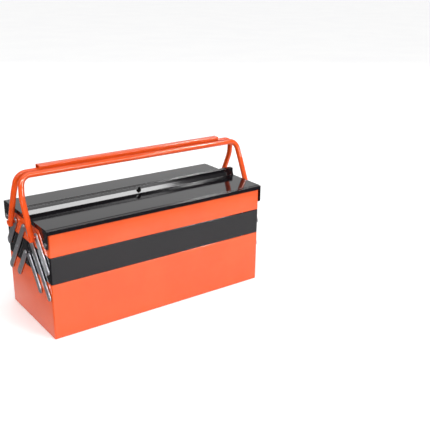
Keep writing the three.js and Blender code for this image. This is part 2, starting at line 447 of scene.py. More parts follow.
class NodeSheet:
    """A node tree that is being filled, with short calls for the nodes used here."""

    def __init__(self, tree: bpy.types.NodeTree) -> None:
        """Keeps the tree.

        Args:
            tree: The material's or the group's tree.
        """
        self.tree = tree

    def add(self, kind: str, inputs: dict[object, object] | None = None,
            **values: object) -> bpy.types.Node:
        """Adds a node, sets its properties and feeds its inputs.

        Args:
            kind: The node's type.
            inputs: What its inputs get, by name or place: a number, a colour or a socket.
            **values: Properties of the node.

        Returns:
            The node.
        """
        node = self.tree.nodes.new(kind)
        for key, value in values.items():
            setattr(node, key, value)
        for key, value in (inputs or {}).items():
            self.feed(value, node.inputs[key])
        return node

    def feed(self, wanted: object, target: Socket) -> None:
        """Links an output to an input, or sets the input's own value."""
        if isinstance(wanted, Socket):
            self.tree.links.new(wanted, target)
        else:
            target.default_value = wanted

    def noise(self, place: Socket, scale: float, detail: float = 3.0,
              roughness: float = 0.5) -> Socket:
        """Adds a noise texture.

        Args:
            place: The coordinates that it reads.
            scale: Its scale.
            detail: How many octaves it has.
            roughness: How strong the finer ones are.

        Returns:
            Its value.
        """
        given = {"Vector": place, "Scale": scale, "Detail": detail, "Roughness": roughness}
        return self.add("ShaderNodeTexNoise", given).outputs["Fac"]

    def stretched(self, place: Socket, scale: Sequence[float]) -> Socket:
        """Scales coordinates differently along each axis."""
        return self.add("ShaderNodeMapping", {"Vector": place, "Scale": scale}).outputs["Vector"]

    def spread(self, value: Socket, low: float, high: float, to_low: object,
               to_high: object) -> Socket:
        """Maps a range to another one, smoothly and within its limits.

        Args:
            value: The value to map.
            low: The range's low end.
            high: Its high end.
            to_low: What the low end becomes, as a number or a socket.
            to_high: What the high end becomes.

        Returns:
            The mapped value.
        """
        given = {"Value": value, "From Min": low, "From Max": high, "To Min": to_low,
                 "To Max": to_high}
        node = self.add("ShaderNodeMapRange", given, interpolation_type="SMOOTHSTEP")
        return node.outputs["Result"]

    def reckon(self, operation: str, first: object, second: object) -> Socket:
        """Adds a math node.

        Args:
            operation: What it does.
            first: Its first value, as a number or a socket.
            second: Its second value.

        Returns:
            The result.
        """
        node = self.add("ShaderNodeMath", {0: first, 1: second}, operation=operation)
        return node.outputs["Value"]

    def mix(self, amount: Socket, first: Socket, second: Socket) -> Socket:
        """Mixes two colours by an amount.

        Args:
            amount: From 0 for the first to 1 for the second.
            first: The first colour.
            second: The second colour.

        Returns:
            The mixed colour.
        """
        given = {"Factor": amount, MIX_COLOURS[0]: first, MIX_COLOURS[1]: second}
        return self.add("ShaderNodeMix", given, data_type="RGBA").outputs[MIXED_COLOUR]


def group_of(name: str, inputs: Sequence[tuple[str, str, object]]) -> NodeSheet:
    """Makes an empty node group that puts out a colour, a roughness and a height.

    Args:
        name: The group's name.
        inputs: Each input as (name, socket type, default value).

    Returns:
        The group's tree.
    """
    tree = bpy.data.node_groups.new(name, "ShaderNodeTree")
    for label, kind, default in inputs:
        made = tree.interface.new_socket(name=label, in_out="INPUT", socket_type=kind)
        made.default_value = default
    for label, kind in (("Color", COLOUR), ("Roughness", NUMBER), ("Height", NUMBER)):
        tree.interface.new_socket(name=label, in_out="OUTPUT", socket_type=kind)
    return NodeSheet(tree)


def enamel_group() -> bpy.types.NodeTree:
    """Builds the surface of sprayed and baked enamel on sheet steel.

    It has the faint ripple of sprayed paint, patches where the coat is a little thicker, fine
    settled dust and a few hair scuffs.

    Returns:
        The group.
    """
    sheet = group_of("enamel surface", (
        ("Paint", COLOUR, (0.8, 0.2, 0.05, 1.0)),
        ("Deep Paint", COLOUR, (0.7, 0.15, 0.04, 1.0)),
        ("Dust", COLOUR, (0.6, 0.6, 0.6, 1.0)),
        ("Dust Amount", NUMBER, 0.1),
        ("Gloss", NUMBER, 0.2),
        ("Dullest", NUMBER, 0.35),
    ))
    given = sheet.add("NodeGroupInput").outputs
    where = sheet.add("ShaderNodeTexCoord").outputs["Object"]
    patches = sheet.noise(where, 14.0, 4.0)
    ripple = sheet.noise(where, 420.0, 1.5, 0.35)
    dust = sheet.noise(where, 900.0, 4.0, 0.7)
    drift = sheet.noise(where, 22.0, 3.0)
    hairs = sheet.noise(sheet.stretched(where, (9.0, 160.0, 260.0)), 6.0, 5.0, 0.75)
    thick = sheet.spread(patches, 0.38, 0.64, 0.0, 1.0)
    paint = sheet.mix(thick, given["Paint"], given["Deep Paint"])
    specks = sheet.spread(dust, 0.56, 0.72, 0.0, 1.0)
    settled = sheet.spread(drift, 0.35, 0.7, 0.15, 1.0)
    dusty = sheet.reckon("MULTIPLY", specks, settled)
    amount = sheet.reckon("MULTIPLY", dusty, given["Dust Amount"])
    scuffs = sheet.spread(hairs, 0.66, 0.78, 0.0, 1.0)
    dulled = sheet.reckon("MULTIPLY", scuffs, 0.5)
    wear = sheet.reckon("MAXIMUM", amount, dulled)
    leaving = sheet.add("NodeGroupOutput").inputs
    sheet.feed(sheet.mix(amount, paint, given["Dust"]), leaving["Color"])
    sheet.feed(sheet.spread(wear, 0.0, 1.0, given["Gloss"], given["Dullest"]),
               leaving["Roughness"])
    raised = sheet.reckon("MULTIPLY", specks, 0.06)
    sheet.feed(sheet.reckon("ADD", ripple, raised), leaving["Height"])
    return sheet.tree


def plating_group() -> bpy.types.NodeTree:
    """Builds the surface of zinc-plated strip: rolled grain, cloudy patches and rubbed spots.

    Returns:
        The group.
    """
    sheet = group_of("zinc surface", (
        ("Bright", COLOUR, (0.7, 0.7, 0.72, 1.0)),
        ("Cloudy", COLOUR, (0.5, 0.5, 0.53, 1.0)),
        ("Gloss", NUMBER, 0.3),
        ("Dullest", NUMBER, 0.55),
    ))
    given = sheet.add("NodeGroupInput").outputs
    where = sheet.add("ShaderNodeTexCoord").outputs["Object"]
    grain = sheet.noise(sheet.stretched(where, (40.0, 900.0, 120.0)), 3.0, 4.0, 0.6)
    clouds = sheet.noise(where, 90.0, 5.0, 0.62)
    pits = sheet.noise(where, 1600.0, 2.0, 0.5)
    mask = sheet.spread(sheet.reckon("ADD", clouds, sheet.reckon("MULTIPLY", grain, 0.35)),
                        0.5, 0.85, 0.0, 1.0)
    leaving = sheet.add("NodeGroupOutput").inputs
    sheet.feed(sheet.mix(mask, given["Bright"], given["Cloudy"]), leaving["Color"])
    sheet.feed(sheet.spread(mask, 0.0, 1.0, given["Gloss"], given["Dullest"]),
               leaving["Roughness"])
    sheet.feed(sheet.reckon("ADD", sheet.reckon("MULTIPLY", pits, 0.5), grain), leaving["Height"])
    return sheet.tree


@dataclass(frozen=True)
class Finish:
    """What every finish has: its slot in the record, and how glossy and how dull it gets."""

    name: str
    slot: str
    gloss: float
    dullest: float

    def mixed(self, group: bpy.types.NodeTree, given: dict[str, object], relief: float,
              depth: float, own: dict[str, float]) -> bpy.types.Material:
        """Makes the material round its surface group.

        Args:
            group: The surface group.
            given: What the group's inputs get, besides the gloss.
            relief: The bump's strength.
            depth: The bump's height.
            own: Numbers for the shader's own inputs.

        Returns:
            The material.
        """
        made = bpy.data.materials.new(self.name)
        made.use_nodes = True
        sheet = NodeSheet(made.node_tree)
        shader = made.node_tree.nodes["Principled BSDF"]
        given = {**given, "Gloss": self.gloss, "Dullest": self.dullest}
        surface = sheet.add("ShaderNodeGroup", given, node_tree=group)
        bump = sheet.add("ShaderNodeBump", {
            "Strength": relief, "Distance": depth, "Height": surface.outputs["Height"]})
        looks = {"Base Color": surface.outputs["Color"], "Normal": bump.outputs["Normal"],
                 "Roughness": surface.outputs["Roughness"], **own}
        for key, value in looks.items():
            sheet.feed(value, shader.inputs[key])
        return made


@dataclass(frozen=True)
class Enamel(Finish):
    """A gloss enamel."""

    paint: tuple[float, float, float]
    deep_paint: tuple[float, float, float]
    dust: float
    ior: float
    ripple: float = 0.05
    ripple_depth: float = 0.4 * MM

    def material(self, group: bpy.types.NodeTree) -> bpy.types.Material:
        """Mixes the paint, given the enamel surface group."""
        given = {
            "Paint": (*self.paint, 1.0),
            "Deep Paint": (*self.deep_paint, 1.0),
            "Dust Amount": self.dust,
        }
        return self.mixed(group, given, self.ripple, self.ripple_depth, {"IOR": self.ior})


@dataclass(frozen=True)
class Plating(Finish):
    """A zinc plating on steel."""

    bright: tuple[float, float, float]
    cloudy: tuple[float, float, float]
    grain: float = 0.18
    grain_depth: float = 0.15 * MM

    def material(self, group: bpy.types.NodeTree) -> bpy.types.Material:
        """Makes the plated metal, given the zinc surface group."""
        given = {"Bright": (*self.bright, 1.0), "Cloudy": (*self.cloudy, 1.0)}
        return self.mixed(group, given, self.grain, self.grain_depth, {"Metallic": 1.0})


ORANGE = Enamel(
    "orange enamel", "orange_paint", gloss=0.16, dullest=0.4,
    paint=(0.66, 0.080, 0.013), deep_paint=(0.63, 0.072, 0.011), dust=0.02, ior=1.5,
)
# The box's orange enamel with its paint a little deeper on the tubes: painted shade, standing in
# for the weaker reflections on the round tubes.
SHADED_TUBING = Enamel(
    "tube enamel", "orange_paint", gloss=0.1, dullest=0.25,
    paint=(0.64, 0.070, 0.009), deep_paint=(0.61, 0.064, 0.007), dust=0.0, ior=1.42,
    ripple=0.02,
)
BLACK = Enamel(
    "black enamel", "black_paint", gloss=0.09, dullest=0.3,
    paint=(0.0060, 0.0050, 0.0064), deep_paint=(0.0045, 0.0038, 0.0050), dust=0.005, ior=1.4,
)
ZINC = Plating(
    "zinc plating", "zinc_plated_steel", gloss=0.33, dullest=0.55,
    bright=(0.62, 0.62, 0.65), cloudy=(0.45, 0.45, 0.48),
)


class Finishes:
    """The paint shop: each finish is made once and given to every piece that takes it."""

    def __init__(self) -> None:
        """Makes the materials."""
        enamel = enamel_group()
        self.made = {paint: paint.material(enamel) for paint in (ORANGE, SHADED_TUBING, BLACK)}
        self.made[ZINC] = ZINC.material(plating_group())

    def give(self, thing: Thing, finish: Finish) -> None:
        """Puts a finish on a piece.

        Args:
            thing: The piece.
            finish: Its finish.
        """
        thing.data.materials.clear()
        thing.data.materials.append(self.made[finish])


# --- The toolbox ---


def joint_at(name: str) -> Vector:
    """Where a joint's axis passes through the middle of the toolbox."""
    for joint in frame["joints"]:
        if joint["name"] == name:
            return Vector(joint["pos_m"])
    raise ValueError(f"no joint is named {name}")


def corners() -> Iterator[tuple[Side, End, str]]:
    """Each side and end of the toolbox, with what starts its nodes' names."""
    for side in Side:
        for end in End:
            yield side, end, f"{side.label}_{end.label}"


@dataclass
class Assembly:
    """What every sub-assembly has: the paint shop, and a way to hand over a finished piece."""

    finishes: Finishes
    made: list[Thing] = field(default_factory=list, init=False)

    def hand_over(self, thing: Thing, node: str, body: str, finish: Finish) -> None:
        """Finishes a piece, lets it ride on its body and has it stand for its node.

        Args:
            thing: The piece.
            node: The CAD node that it stands for.
            body: The body that it moves with.
            finish: Its finish.
        """
        self.finishes.give(thing, finish)
        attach(thing, body)
        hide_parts(node)
        self.made.append(thing)
        log.info("%s: %d faces on %s", thing.name, len(thing.data.polygons), body)


@dataclass
class Trays(Assembly):
    """The bottom box and the four trays: open folded shells with a rolled rim."""

    corner: float = 2.4 * MM
    corner_steps: int = 5
    floor_fold: float = 1.3 * MM
    floor_steps: int = 3
    roll: float = 0.86 * MM
    roll_steps: int = 6
    hem: float = 7.0 * MM

    def shell(self, node: str) -> Thing:
        """Folds one tray to the size of its node.

        Args:
            node: The CAD node.

        Returns:
            The tray.
        """
        low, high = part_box(node)
        rim = Vector((high.x, high.y, high.z - self.roll))
        piece = Workpiece.block(f"{node}_shell", low, rim)
        piece.pick(Part.FACE, lambda _, normal: normal.z > 0.9)
        bpy.ops.mesh.delete(type="FACE")
        piece.pick(Part.EDGE, lambda _, run: abs(run.z) > NEAR)
        piece.round_edges(self.corner, self.corner_steps)
        piece.pick(Part.EDGE, lambda at, run: abs(at.z - low.z) < NEAR and abs(run.z) < NEAR)
        piece.round_edges(self.floor_fold, self.floor_steps)
        self.roll_rim(piece, low, rim)
        piece.weld()
        piece.thicken(SHEET)
        return piece.finish()

    def roll_rim(self, piece: Workpiece, low: Vector, rim: Vector) -> None:
        """Rolls the top edge of the walls inwards and folds it down inside them.

        Args:
            piece: The open shell.
            low: Its lowest corner.
            rim: Its highest corner, where the roll starts.
        """
        middle = (low + rim) / 2
        half = (rim - low) / 2
        piece.pick(Part.EDGE, lambda at, run: at.z > rim.z - NEAR and abs(run.z) < NEAR)
        inset = 0.0
        rise = 0.0
        for k in range(1, self.roll_steps + 1):
            angle = math.pi * k / self.roll_steps
            next_inset = self.roll * (1 - math.cos(angle))
            next_rise = self.roll * math.sin(angle)
            piece.pull(UP * (next_rise - rise))
            by = Vector((
                (half.x - next_inset) / (half.x - inset),
                (half.y - next_inset) / (half.y - inset),
                1.0,
            ))
            piece.spread(by, middle)
            inset = next_inset
            rise = next_rise
        piece.pull(UP * -self.hem)

    def build(self) -> None:
        """Builds the box and the trays, and hands them over."""
        self.hand_over(self.shell("bottom_box"), "bottom_box", "base", ORANGE)
        for side in Side:
            for level, finish in (("mid", BLACK), ("top", ORANGE)):
                node = f"{side.label}_{level}_tray"
                self.hand_over(self.shell(node), node, f"{node}_body", finish)


@dataclass
class Lids(Assembly):
    """The two lids, each one folded sheet with end flanges, a pivot tab and a middle lip."""

    flange: float = 8.0 * MM
    rim_width: float = 5.0 * MM
    panel_step: float = 0.7 * MM
    step_run: float = 0.6 * MM
    ramp_rise: float = 7.5 * MM
    ramp_run: float = 2.6 * MM
    lip_rise: float = 14.0 * MM
    lip_width: float = 4.6 * MM
    lip_return: float = 12.0 * MM
    tab_root: float = 31.5 * MM
    tab_narrowing: float = 0.47
    tab_round: float = 5.0 * MM
    tab_steps: int = 7
    padlock_radius: float = 5.0 * MM
    padlock_rise: float = 6.4 * MM
    rim_fold: float = 0.9 * MM
    rim_steps: int = 3
    step_fold: float = 0.5 * MM
    foot_fold: float = 0.7 * MM
    lip_fold: float = 1.3 * MM
    fold_steps: int = 4

    def section(self, low: Vector, high: Vector, top: float) -> list[Vector]:
        """The front lid's fold, from the front flange to the lip's inner edge.

        Args:
            low: The node's lowest corner.
            high: Its highest corner.
            top: The height of the lid's flat panel.

        Returns:
            The fold's points.
        """
        lip = high.y - self.lip_width
        step = low.y + self.rim_width
        foot = lip - self.ramp_run
        corners = (
            (low.y, top - self.flange, 0.0),
            (low.y, top - self.panel_step, self.rim_fold),
            (step, top - self.panel_step, self.step_fold),
            (step + self.step_run, top, self.step_fold),
            (low.y + self.tab_root, top, 0.0),
            (foot, top, self.foot_fold),
            (lip, top + self.ramp_rise, self.rim_fold),
            (lip, high.z, self.lip_fold),
            (high.y, high.z, self.lip_fold),
            (high.y, high.z - self.lip_return, 0.0),
        )
        return rounded_path(corners, self.fold_steps)

    def end_flange(self, piece: Workpiece, end: End, low: Vector, high: Vector,
                   top: float) -> None:
        """Folds down one end: the flange, the lip's end cap and the tab.

        Args:
            piece: The folded sheet.
            end: Which end.
            low: The node's lowest corner.
            high: Its highest corner.
            top: The height of the lid's flat panel.
        """
        x = high.x * end.value
        foot = high.y - self.lip_width - self.ramp_run
        bottom = top - self.flange
        before_foot = foot - self.foot_fold
        cap_start = foot - 4 * self.foot_fold

        def on_end(at: Vector) -> bool:
            """Whether a place lies in the end's plane."""
            return abs(at.x - x) < NEAR

        def on_bottom(at: Vector) -> bool:
            """Whether a place lies on the end flange's lower edge."""
            return on_end(at) and abs(at.z - bottom) < NEAR

        piece.pick(Part.EDGE, lambda at, run: on_end(at) and abs(run.x) < NEAR
                   and at.y < before_foot and at.z > bottom + self.flange / 2 + NEAR)
        piece.pull(UP * -NEAR)
        piece.spread(Vector((1.0, 1.0, 0.0)), Vector((x, 0.0, bottom)))
        piece.pick(Part.VERT, lambda at, _: on_bottom(at) and at.y > cap_start)
        piece.pull(ALONG_Y * self.foot_fold)
        self.square_off(piece, Vector((x, high.y, bottom)))
        piece.pick(Part.VERT, lambda at, _: on_end(at) and at.y > cap_start)
        bpy.ops.mesh.edge_face_add()
        piece.weld()
        piece.pick(Part.EDGE, lambda at, run: on_bottom(at) and abs(run.y) > NEAR / 4
                   and at.y < low.y + self.tab_root)
        piece.pull(UP * (low.z - bottom))
        piece.spread(Vector((1.0, self.tab_narrowing, 1.0)), Vector((x, low.y, low.z)))
        piece.pick(Part.FACE, lambda at, normal: on_end(at) and abs(normal.x) > 0.9)
        bpy.ops.mesh.dissolve_faces()
        piece.pick(Part.VERT, lambda at, _: on_end(at) and at.z < low.z + NEAR)
        bpy.ops.mesh.dissolve_limited(angle_limit=math.radians(2.0))
        piece.pick(Part.VERT, lambda at, _: on_end(at) and at.z < low.z + NEAR)
        bpy.ops.mesh.bevel(offset=self.tab_round, segments=self.tab_steps, affect="VERTICES")

    def square_off(self, piece: Workpiece, where: Vector) -> None:
        """Brings the vertex that was just pulled to an exact place."""
        mesh = bmesh.from_edit_mesh(piece.thing.data)
        (pulled,) = (vertex for vertex in mesh.verts if vertex.select)
        piece.shift(where - pulled.co)

    def lid(self, name: str) -> Thing:
        """Folds the front lid.

        Args:
            name: The piece's name.

        Returns:
            The lid.
        """
        low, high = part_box("front_lid")
        top = high.z - self.lip_rise
        piece = folded_sheet(name, self.section(low, high, top), low.x, high.x)
        for end in End:
            self.end_flange(piece, end, low, high, top)
        piece.weld()
        piece.modify("BEVEL", width=self.rim_fold, segments=self.rim_steps,
                     limit_method="ANGLE", angle_limit=math.radians(50.0))
        piece.weld()
        piece.thicken(SHEET)
        piece.drill(Vector((0.0, high.y - self.lip_width / 2, top + self.padlock_rise)),
                    ALONG_Y, self.padlock_radius, 6 * self.lip_width)
        return piece.finish()

    def build(self) -> None:
        """Builds both lids and hands them over."""
        front = self.lid("front_lid_sheet")
        back = turned_round(front, "back_lid_sheet")
        self.hand_over(front, "front_lid", "front_lid_body", BLACK)
        self.hand_over(back, "back_lid", "back_lid_body", BLACK)


@dataclass
class Handles(Assembly):
    """The two bail handles of bent tube, and the folded cover on the back one's bar."""

    radius: float = 5.0 * MM
    wall: float = 1.2 * MM
    bar_rise: float = 94.8 * MM
    bar_tuck: float = 5.0 * MM
    knee_rise: float = 64.0 * MM
    knee_reach: float = 29.0 * MM
    knee_radius: float = 90.0 * MM
    knee_steps: int = 6
    bar_bend: float = 18.0 * MM
    bar_steps: int = 14
    leg_tip: float = 7.5 * MM
    tip_round: float = 1.6 * MM
    tip_steps: int = 4
    sides: int = 28
    cover_sheet: float = 1.0 * MM
    cover_fold: float = 2.2 * MM
    fold_steps: int = 6
    cover_lip: float = 3.4 * MM
    cover_edge: float = 0.2 * MM

    def bent_tube(self, name: str) -> Thing:
        """Bends the front handle: one leg up to the middle of the bar, then its mirror image.

        Args:
            name: The piece's name.

        Returns:
            The handle.
        """
        foot = joint_at("front_handle_swing")
        low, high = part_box("front_handle")
        x = low.x + self.radius
        bar_y = high.y - self.radius
        knee = Vector((x, foot.y + self.knee_reach, foot.z + self.knee_rise))
        leg = Vector((0.0, self.knee_reach, self.knee_rise)).normalized()
        tip = Vector((x, foot.y, foot.z)) - leg * self.leg_tip
        corner = Vector((x + self.bar_tuck, bar_y, foot.z + self.bar_rise))
        middle = Vector((0.0, corner.y, corner.z))
        piece = Workpiece.ring(name, tip, leg, self.radius - self.tip_round, self.sides)
        here = tip
        width = self.radius - self.tip_round
        for k in range(1, self.tip_steps + 1):
            angle = math.pi / 2 * k / self.tip_steps
            grown = self.radius - self.tip_round * (1 - math.sin(angle))
            after = tip + leg * (self.tip_round * (1 - math.cos(angle)))
            piece.pull(after - here)
            piece.spread(Vector((1.0, 1.0, 1.0)) * (grown / width), after)
            here, width = after, grown
        here = self.run_to(piece, here, knee, corner, self.knee_radius, self.knee_steps)
        here = self.run_to(piece, here, corner, middle, self.bar_bend, self.bar_steps)
        piece.pull(middle - here)
        piece.modify("MIRROR", use_axis=(True, False, False), merge_threshold=0.01 * MM)
        piece.weld()
        piece.thicken(self.wall)
        return piece.finish(50.0)

    def run_to(self, piece: Workpiece, here: Vector, corner: Vector, beyond: Vector,
               radius: float, steps: int) -> Vector:
        """Runs the tube straight towards a corner and bends it round.

        Args:
            piece: The tube, with its open end selected.
            here: Where that end is.
            corner: The corner.
            beyond: The next corner, which gives the direction after the bend.
            radius: The bend's radius.
            steps: How many sections the bend has.

        Returns:
            Where the end is after the bend.
        """
        into = (corner - here).normalized()
        out = (beyond - corner).normalized()
        angle = into.angle(out)
        reach = radius * math.tan(angle / 2)
        start = corner - into * reach
        piece.pull(start - here)
        across = (out - into * out.dot(into)).normalized()
        piece.turn(angle, start + across * radius, into.cross(out).normalized(), steps)
        return corner + out * reach

    def cover(self, name: str) -> Thing:
        """Folds the cover: a channel open below, with its lips turned in under the bar.

        Args:
            name: The piece's name.

        Returns:
            The cover.
        """
        low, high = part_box("back_handle_cover")
        fold = self.cover_fold
        section = rounded_path((
            (low.y + self.cover_lip, low.z, 0.0),
            (low.y, low.z, fold),
            (low.y, high.z, fold),
            (high.y, high.z, fold),
            (high.y, low.z, fold),
            (high.y - self.cover_lip, low.z, 0.0),
        ), self.fold_steps)
        piece = folded_sheet(name, section, low.x, high.x)
        piece.weld()
        piece.thicken(self.cover_sheet)
        piece.modify("BEVEL", width=self.cover_edge, segments=2, limit_method="ANGLE",
                     angle_limit=math.radians(60.0))
        return piece.finish()

    def build(self) -> None:
        """Builds the handles and the cover, and hands them over."""
        front = self.bent_tube("front_handle_tube")
        back = turned_round(front, "back_handle_tube")
        self.hand_over(front, "front_handle", "front_handle_body", SHADED_TUBING)
        self.hand_over(back, "back_handle", "back_handle_body", SHADED_TUBING)
        cover = self.cover("back_handle_cover_sheet")
        self.hand_over(cover, "back_handle_cover", "back_handle_body", SHADED_TUBING)


@dataclass
class Links(Assembly):
    """The strips of the linkage: long arms, lower links and upper links on both ends."""

    thickness: float = 2.0 * MM
    width: float = 12.0 * MM
    upper_width: float = 13.5 * MM
    sides: int = 40
    edge_round: float = 0.45 * MM
    rib_land: float = 0.935 * MM
    rib_slope: float = 0.765 * MM
    rib_depth: float = 0.6 * MM

    def strip(self, name: str, width: float, length: float, ribbed: bool) -> Thing:
        """Presses one strip, standing on its lowest pivot at the origin and facing +X.

        Args:
            name: The piece's name.
            width: Its width.
            length: From its first pivot to its last.
            ribbed: Whether its outer face is pressed with lengthwise ribs.

        Returns:
            The strip.
        """
        piece = Workpiece.ring(name, Vector(), ALONG_X, width / 2, self.sides, filled=True)
        piece.pick(Part.VERT, lambda at, _: at.z > NEAR / 4)
        piece.shift(UP * length)
        piece.pick(Part.FACE, lambda at, _: True)
        piece.pull(ALONG_X * self.thickness)
        piece.weld()
        piece.pick(Part.EDGE, lambda at, run: abs(run.x) < NEAR)
        piece.round_edges(self.edge_round, 3)
        if ribbed:
            piece.pick(Part.FACE, lambda at, normal: at.x > self.thickness - NEAR
                       and normal.x > 0.99)
            for depth in (-self.rib_depth, self.rib_depth, -self.rib_depth):
                bpy.ops.mesh.inset(thickness=self.rib_land, depth=0.0)
                bpy.ops.mesh.inset(thickness=self.rib_slope, depth=depth)
        return piece.finish(35.0)

    def build(self) -> None:
        """Builds every strip and hands it over."""
        reach = joint_at("front_top_tray_level") - joint_at("front_arm_swing")
        step = joint_at("front_mid_tray_level") - joint_at("front_arm_swing")
        lean = math.atan2(step.y, step.z)
        kinds = (
            ("long_arm", "arm_swing", self.width, reach.length, False),
            ("lower_link", "lower_link_swing", self.width, step.length, False),
            ("upper_link", "upper_link_swing", self.upper_width, step.length, True),
        )
        for kind, joint, width, length, ribbed in kinds:
            pattern = self.strip(f"{kind}_pattern", width, length, ribbed)
            for side, end, corner in corners():
                node = f"{corner}_{kind}"
                made = copy_of(pattern, f"{node}_strip")
                self.stand(made, node, joint_at(f"{side.label}_{joint}"), side, end, lean)
                self.hand_over(made, node, f"{side.label}_{kind}s", ZINC)
            bpy.data.objects.remove(pattern)

    def stand(self, thing: Thing, node: str, pivot: Vector, side: Side, end: End,
              lean: float) -> None:
        """Leans a strip over and puts it on its pivot.

        Args:
            thing: The strip.
            node: The CAD node that it stands for.
            pivot: Its lowest pivot.
            side: Which side it is on.
            end: Which end it is on.
            lean: Its lean from upright, towards the middle.
        """
        low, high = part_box(node)
        x = low.x if end is End.RIGHT else high.x
        place(thing, Vector(), (0.0, 0.0, end.facing))
        place(thing, Vector((x, pivot.y, pivot.z)), (lean * side.value, 0.0, 0.0))


@dataclass
class Rivets(Assembly):
    """The rivets of every pivot, each turned from its profile."""

    shank: float = 2.0 * MM
    head: float = 4.4 * MM
    head_edge: float = 0.12 * MM
    head_round: float = 0.1 * MM
    rim_share: float = 0.3
    dome_steps: int = 6
    collar: float = 3.2 * MM
    chamfer_rise: float = 0.2 * MM
    chamfer_run: float = 0.15 * MM
    sides: int = 28

    def profile(self, pieces: Iterable[tuple[float, float]]) -> list[tuple[float, float]]:
        """The rivet's outline as (distance from the wall, radius).

        Args:
            pieces: The near and far face of each piece that turns on it.

        Returns:
            The outline, from the formed head to the outer head.
        """
        formed = -SHEET - RIVET_GAP
        line = self.dome(formed, -HEAD_HEIGHT)[::-1]
        line.append((formed, self.shank))
        edge = self.collar - self.chamfer_rise
        face = 0.0
        for near, far in pieces:
            start, stop = face + RIVET_GAP, near - RIVET_GAP
            line += [
                (start, self.shank),
                (start, edge),
                (start + self.chamfer_run, self.collar),
                (stop - self.chamfer_run, self.collar),
                (stop, edge),
                (stop, self.shank),
            ]
            face = far
        outer = face + RIVET_GAP
        line.append((outer, self.shank))
        return line + self.dome(outer, HEAD_HEIGHT)

    def dome(self, base: float, height: float) -> list[tuple[float, float]]:
        """A low domed head, from its rim to its middle.

        Args:
            base: Where its flat underside is.
            height: How high it is, negative when it faces inwards.

        Returns:
            Its outline.
        """
        rim = self.rim_share
        top = self.head - self.head_round
        line = [(base, self.head - self.head_edge), (base + height * rim / 2, self.head)]
        for k in range(self.dome_steps + 1):
            angle = math.pi / 2 * k / self.dome_steps
            line.append((base + height * (rim + (1 - rim) * math.sin(angle)),
                         top * math.cos(angle)))
        return line

    def turned(self, name: str, pieces: Iterable[tuple[float, float]]) -> Thing:
        """Turns one rivet about the X axis, with the wall's outer face at the origin.

        Args:
            name: The piece's name.
            pieces: The near and far face of each piece that turns on it.

        Returns:
            The rivet.
        """
        line = self.profile(pieces)
        start = Vector((line[0][0], 0.0, line[0][1]))
        piece = Workpiece.start(name, bpy.ops.mesh.primitive_plane_add, size=1.0)
        bpy.ops.mesh.merge(type="CENTER")
        piece.shift(start)
        for (x, r), (next_x, next_r) in zip(line, line[1:]):
            piece.pull(Vector((next_x - x, 0.0, next_r - r)))
        bpy.ops.mesh.select_all(action="SELECT")
        piece.turn(2 * math.pi, Vector(), ALONG_X, self.sides)
        piece.weld()
        return piece.finish(35.0)

    def build(self) -> None:
        """Turns every rivet and hands it over."""
        box, mid, top = "base", "mid_tray_body", "top_tray_body"
        kinds = (
            ((LINK_FACES,), ZINC, (
                ("arm_box_rivet", box), ("arm_mid_rivet", mid), ("arm_top_rivet", top),
                ("lower_link_box_rivet", box), ("lower_link_mid_rivet", mid),
                ("upper_link_mid_rivet", mid))),
            ((LINK_FACES, TUBE_FACES), SHADED_TUBING, (("handle_rivet", top),)),
            ((LID_FACES,), ZINC, (("lid_rivet", top),)),
        )
        for pieces, finish, uses in kinds:
            pattern = self.turned("rivet_pattern", pieces)
            for kind, body in uses:
                for side, end, corner in corners():
                    owner = body if body == box else f"{side.label}_{body}"
                    self.set_in(pattern, f"{corner}_{kind}", owner, end, finish)
            bpy.data.objects.remove(pattern)

    def set_in(self, pattern: Thing, node: str, body: str, end: End,
               finish: Finish) -> None:
        """Copies a rivet into its hole and hands it over.

        Args:
            pattern: The turned rivet.
            node: The CAD node that it stands for.
            body: The body that it moves with.
            end: Which end it is on.
            finish: Its finish.
        """
        low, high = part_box(node)
        made = copy_of(pattern, f"{node}_turned")
        inner = -SHEET - RIVET_GAP - HEAD_HEIGHT
        x = low.x - inner if end is End.RIGHT else high.x + inner
        where = Vector((x, (low.y + high.y) / 2, (low.z + high.z) / 2))
        place(made, where, (0.0, 0.0, end.facing))
        self.hand_over(made, node, body, finish)


# --- The studio ---


def towards(azimuth: float, elevation: float) -> Vector:
    """The direction from the toolbox to something.

    Args:
        azimuth: Its bearing in degrees, from -Y towards +X.
        elevation: Its height in degrees.

    Returns:
        The direction, as a unit vector.
    """
    turn = math.radians(azimuth)
    tilt = math.radians(elevation)
    return Vector((
        math.sin(turn) * math.cos(tilt),
        -math.cos(turn) * math.cos(tilt),
        math.sin(tilt),
    ))


def set_up(name: str, data: bpy.types.Camera | bpy.types.Light) -> Thing:
    """Puts a camera or a light into the scene."""
    thing = bpy.data.objects.new(name, data)
    bpy.context.scene.collection.objects.link(thing)
    return thing


@dataclass(frozen=True)
class SoftBox:
    """A rectangular light that faces the toolbox. A glint only shows as a highlight."""

    name: str
    azimuth: float
    elevation: float
    distance: float
    size: tuple[float, float]
    watts: float
    glint: bool = False

    def hang(self, aim: Vector) -> None:
        """Hangs the light in its place, turned towards a point."""
        data = bpy.data.lights.new(self.name, "AREA")
        data.shape = "RECTANGLE"
        data.size, data.size_y = self.size
        data.energy = self.watts
        lamp = set_up(self.name, data)
        away = towards(self.azimuth, self.elevation)
        turned = (-away).to_track_quat("-Z", "Y")
        where = aim + away * self.distance
        lamp.matrix_world = Matrix.Translation(where) @ turned.to_matrix().to_4x4()
        lamp.visible_diffuse = not self.glint


SOFT_BOXES = (
    SoftBox("key", 22.5, 16.0, 2.4, (0.9, 0.5), 31.0),
    SoftBox("fill", -62.0, 30.0, 2.6, (0.8, 0.9), 23.0),
    SoftBox("leg glint", -37.0, 42.0, 2.2, (0.3, 0.3), 24.0, glint=True),
    SoftBox("bar glint", 60.0, 50.0, 2.2, (0.3, 0.3), 30.0, glint=True),
    SoftBox("backdrop", 150.0, 20.0, 3.0, (3.2, 1.7), 8.5),
)


